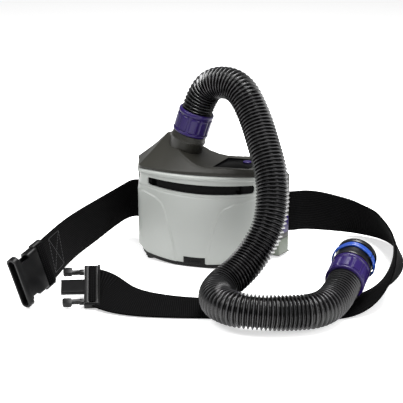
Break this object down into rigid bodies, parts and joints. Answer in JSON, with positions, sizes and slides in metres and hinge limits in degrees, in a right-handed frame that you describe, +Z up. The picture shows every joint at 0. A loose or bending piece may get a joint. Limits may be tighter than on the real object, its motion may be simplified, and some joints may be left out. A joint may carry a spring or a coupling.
{
  "type": "powered air respirator",
  "caption": "Belt-worn powered air respirator: curved blower and filter unit with a ribbed breathing hose, bayonet collars, webbing belt and side-release buckle.",
  "frame": {"origin": "on the floor under the middle of the blower unit", "axes": "+X towards the unit's right as seen from the front, -Y the front with the filter cover, +Z up"},
  "size_m": [0.3882, 0.3629, 0.2346],
  "materials": {
    "cover_grey": "satin",
    "housing_dark": "satin",
    "base_dark": "matte",
    "inner_plastic": "matte",
    "purple_plastic": "satin",
    "ring_blue": "gloss",
    "battery_green": "satin",
    "window_black": "gloss",
    "foot_rubber": "matte",
    "filter_paper": "matte",
    "foam_grey": "matte",
    "screen_metal": "satin",
    "steel": "satin",
    "brass_contact": "polished",
    "board_green": "satin",
    "seal_rubber": "matte",
    "hose_rubber": "satin",
    "webbing_black": "matte",
    "buckle_black": "satin",
    "cuff_black": "satin"
  },
  "bodies": {
    "unit": {"base_pan": "base_dark", "feet": "foot_rubber", "filter_frame": "inner_plastic", "filter_media": "filter_paper", "prefilter": "foam_grey", "spark_arrestor": "screen_metal", "filter_gasket": "seal_rubber", "chassis": "inner_plastic", "rear_housing": "housing_dark", "upper_housing": "housing_dark", "outlet_spigot": "cuff_black", "outlet_duct": "inner_plastic", "blower_scroll": "inner_plastic", "blower_inlet_plate": "inner_plastic", "motor_can": "steel", "motor_bearing": "steel", "control_board": "board_green", "buzzer": "base_dark", "display_window": "window_black", "rear_foot_trim": "base_dark", "battery_contacts": "brass_contact", "housing_screws": "steel", "belt_guide_right": "housing_dark", "belt_guide_left": "housing_dark", "hose": "hose_rubber", "cuff_unit": "cuff_black", "outlet_o_ring": "seal_rubber", "cuff_head": "cuff_black", "lock_ring": "ring_blue", "belt_right": "webbing_black", "belt_left": "webbing_black", "buckle_female": "buckle_black", "buckle_male": "buckle_black", "webbing_bar": "buckle_black"},
    "cover": {"filter_cover": "cover_grey"},
    "cover_catch": {"cover_latch": "base_dark"},
    "rotor": {"impeller": "inner_plastic", "motor_shaft": "steel"},
    "power_key": {"power_button": "purple_plastic"},
    "flow_key": {"flow_button": "purple_plastic"},
    "battery": {"battery_pack": "battery_green"},
    "battery_catch": {"battery_latch": "purple_plastic"},
    "unit_collar": {"collar_unit": "purple_plastic"},
    "head_collar": {"collar_head": "purple_plastic"},
    "tab_left": {"squeeze_tab_left": "ring_blue"},
    "tab_right": {"squeeze_tab_right": "ring_blue"},
    "arm_upper": {"prong_upper": "buckle_black"},
    "arm_lower": {"prong_lower": "buckle_black"}
  },
  "joints": [
    {"name": "cover_pull", "type": "slide", "parent": "unit", "child": "cover", "axis": [0, -1, 0], "range_m": [0, 0.03]},
    {"name": "cover_catch_press", "type": "slide", "parent": "cover", "child": "cover_catch", "axis": [0, 1, 0], "range_m": [0, 0.0015], "stiffness_N_per_m": 600},
    {"name": "rotor_spin", "type": "hinge", "parent": "unit", "child": "rotor", "pos_m": [0.002, -0.001, 0.072], "axis": [0, 1, 0], "continuous": true},
    {"name": "power_press", "type": "slide", "parent": "unit", "child": "power_key", "axis": [0, 0, -1], "range_m": [0, 0.001], "stiffness_N_per_m": 500},
    {"name": "flow_press", "type": "slide", "parent": "unit", "child": "flow_key", "axis": [0, 0, -1], "range_m": [0, 0.001], "stiffness_N_per_m": 500},
    {"name": "battery_swing", "type": "hinge", "parent": "unit", "child": "battery", "pos_m": [-0.074, 0.031, 0.0135], "axis": [0, 0, 1], "range_deg": [0, 18]},
    {"name": "battery_catch_press", "type": "slide", "parent": "unit", "child": "battery_catch", "axis": [-1, 0, 0], "range_m": [0, 0.0025], "stiffness_N_per_m": 500},
    {"name": "unit_collar_turn", "type": "hinge", "parent": "unit", "child": "unit_collar", "pos_m": [-0.0173, 0.002, 0.1535], "axis": [0.309, 0, 0.9511], "range_deg": [0, 45]},
    {"name": "head_collar_turn", "type": "hinge", "parent": "unit", "child": "head_collar", "pos_m": [0.19217, -0.10358, 0.03367], "axis": [0.09, 0.9552, 0.282], "range_deg": [0, 45]},
    {"name": "tab_left_squeeze", "type": "slide", "parent": "unit", "child": "tab_left", "axis": [0.9956, -0.0938, 0], "range_m": [0, 0.0015], "stiffness_N_per_m": 900},
    {"name": "tab_right_squeeze", "type": "slide", "parent": "unit", "child": "tab_right", "axis": [-0.9956, 0.0938, 0], "range_m": [0, 0.0015], "stiffness_N_per_m": 900},
    {"name": "arm_upper_flex", "type": "hinge", "parent": "unit", "child": "arm_upper", "pos_m": [-0.08798, -0.16169, 0.02748], "axis": [0.174, -0.4495, 0.8762], "range_deg": [0, 8], "stiffness_Nm_per_rad": 0.4},
    {"name": "arm_lower_flex", "type": "hinge", "parent": "unit", "child": "arm_lower", "pos_m": [-0.07501, -0.19519, 0.00772], "axis": [-0.174, 0.4495, -0.8762], "range_deg": [0, 8], "stiffness_Nm_per_rad": 0.4}
  ]
}
